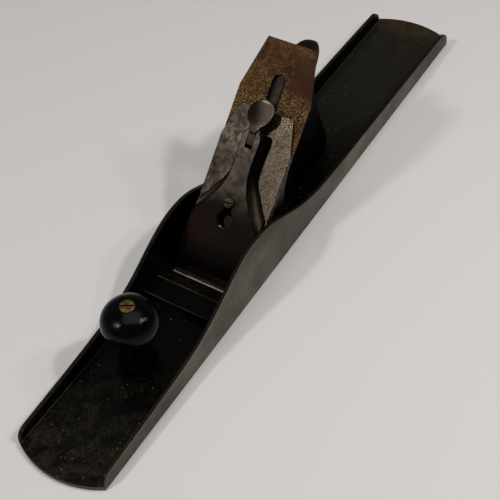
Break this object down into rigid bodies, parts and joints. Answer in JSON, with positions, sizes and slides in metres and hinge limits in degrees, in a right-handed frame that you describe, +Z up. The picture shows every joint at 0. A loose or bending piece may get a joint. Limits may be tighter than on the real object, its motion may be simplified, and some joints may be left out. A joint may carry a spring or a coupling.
{
  "type": "jointer plane",
  "caption": "Long cast-iron bench plane with a bedded iron, cap iron, keyhole lever cap, depth and side adjusters, low round front knob and shaped rear handle.",
  "frame": {"origin": "middle of the sole's underside", "axes": "+X towards the toe (the planing direction), +Y towards the user's left, +Z up from the sole"},
  "size_m": [0.559, 0.074, 0.136],
  "materials": {
    "body_iron": "worn cast iron with old black lacquer inside",
    "frog_japan": "gloss black lacquer, worn",
    "screw_steel": "dull",
    "handle_wood": "dark gloss, worn",
    "nut_brass": "tarnished",
    "lever_steel": "dark patina",
    "rusted_steel": "rusted",
    "cap_steel": "speckled patina",
    "lever_cap_iron": "smooth, worn"
  },
  "bodies": {
    "plane_body": {"plane_body": "body_iron", "frog_screw_left": "screw_steel", "frog_screw_right": "screw_steel", "frog_washer_left": "screw_steel", "frog_washer_right": "screw_steel", "front_knob": "handle_wood", "knob_rod": "screw_steel", "knob_nut": "nut_brass", "tote": "handle_wood", "tote_rod": "screw_steel", "tote_nut": "nut_brass", "tote_toe_screw": "screw_steel"},
    "frog": {"frog": "frog_japan", "adjuster_stud": "screw_steel", "yoke_pin": "screw_steel", "lateral_pin": "screw_steel", "lever_cap_screw": "nut_brass"},
    "adjuster_nut": {"adjuster_nut": "nut_brass"},
    "depth_yoke": {"depth_yoke": "lever_steel"},
    "cutter": {"plane_iron": "rusted_steel", "cap_iron": "cap_steel", "cap_iron_screw": "screw_steel"},
    "lateral_lever": {"lateral_lever": "lever_steel", "lateral_disc": "lever_steel"},
    "lever_cap": {"lever_cap": "lever_cap_iron", "cam_pin": "screw_steel", "cap_spring": "lever_steel", "spring_rivet": "screw_steel"},
    "cam_lever": {"cam_lever": "lever_steel"}
  },
  "joints": [
    {"name": "frog_slide", "type": "slide", "parent": "plane_body", "child": "frog", "axis": [1, 0, 0], "range_m": [-0.0015, 0.0015]},
    {"name": "depth_nut_turn", "type": "hinge", "parent": "frog", "child": "adjuster_nut", "pos_m": [0.004, 0, 0.035], "axis": [1, 0, 0], "range_deg": [-270, 270]},
    {"name": "yoke_pivot", "type": "hinge", "parent": "frog", "child": "depth_yoke", "pos_m": [0.0214, 0, 0.04837], "axis": [0, 1, 0], "range_deg": [-3.5, 3.5]},
    {"name": "iron_feed", "type": "slide", "parent": "frog", "child": "cutter", "axis": [0.7071, 0, -0.7071], "range_m": [-0.00095, 0.00095]},
    {"name": "side_lever_swing", "type": "hinge", "parent": "frog", "child": "lateral_lever", "pos_m": [0.00719, 0, 0.07658], "axis": [0.7071, 0, 0.7071], "range_deg": [-7, 7]},
    {"name": "lever_cap_slide", "type": "slide", "parent": "frog", "child": "lever_cap", "axis": [-0.7071, 0, 0.7071], "range_m": [0, 0.012]},
    {"name": "cam_lever_lift", "type": "hinge", "parent": "lever_cap", "child": "cam_lever", "pos_m": [0.0132, 0, 0.08895], "axis": [0, 1, 0], "range_deg": [0, 90]}
  ],
  "couplings": [
    {"joint": "yoke_pivot", "follows": "depth_nut_turn", "ratio": 0.01259},
    {"joint": "iron_feed", "follows": "depth_nut_turn", "m_per_rad": 0.00019895}
  ]
}
